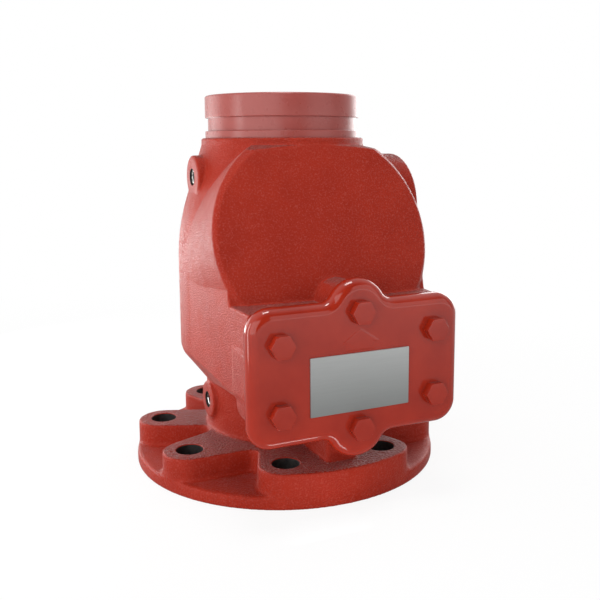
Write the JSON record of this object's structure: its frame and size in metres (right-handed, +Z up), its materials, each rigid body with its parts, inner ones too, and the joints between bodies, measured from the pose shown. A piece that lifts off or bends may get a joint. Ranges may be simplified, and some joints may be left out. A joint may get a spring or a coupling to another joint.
{
  "type": "swing non-return valve",
  "caption": "Upright swing non-return valve with a drilled inlet flange, a grooved outlet end and a bolted handhole cover that carries the hinged clapper inside.",
  "frame": {"origin": "centre of the inlet flange's bottom face, on the valve axis", "axes": "+Z up along the flow from the inlet flange to the grooved outlet, -Y to the handhole cover, +X to the drain boss"},
  "size_m": [0.2286, 0.2458, 0.2717],
  "materials": {
    "body_paint": "satin red enamel over a fine sand-cast skin",
    "cover_paint": "glossy red enamel on a smooth casting",
    "bolt_paint": "semi-gloss red enamel over hexagon heads",
    "plate_metal": "blank satin metal plate",
    "bronze": "machined and lightly dulled",
    "rubber_black": "matte moulded rubber",
    "gasket_fibre": "thin dark sheet gasket",
    "pin_steel": "turned stainless steel",
    "clip_steel": "dark spring steel",
    "plug_steel": "bright plated steel",
    "arm_iron": "cast with machined bosses"
  },
  "bodies": {
    "valve_body": {"body": "body_paint", "seat_ring": "bronze", "seat_seal": "rubber_black", "handhole_cover": "cover_paint", "cover_gasket": "gasket_fibre", "nameplate": "plate_metal", "cover_bolt_1": "bolt_paint", "cover_bolt_2": "bolt_paint", "cover_bolt_3": "bolt_paint", "cover_bolt_4": "bolt_paint", "cover_bolt_5": "bolt_paint", "cover_bolt_6": "bolt_paint", "hinge_pin": "pin_steel", "hinge_clip_left": "clip_steel", "hinge_clip_right": "clip_steel", "pipe_plug_upper": "plug_steel", "pipe_plug_lower": "plug_steel"},
    "clapper": {"hinge_bush_left": "bronze", "hinge_bush_right": "bronze", "clapper_arm": "arm_iron", "clapper_disc": "bronze", "clapper_facing": "rubber_black", "facing_retainer": "bronze", "clapper_bolt": "pin_steel", "clapper_washer": "pin_steel", "clapper_nut": "pin_steel"}
  },
  "joints": [
    {"name": "clapper_swing", "type": "hinge", "parent": "valve_body", "child": "clapper", "pos_m": [0, -0.08, 0.092], "axis": [1, 0, 0], "range_deg": [0, 70]}
  ]
}
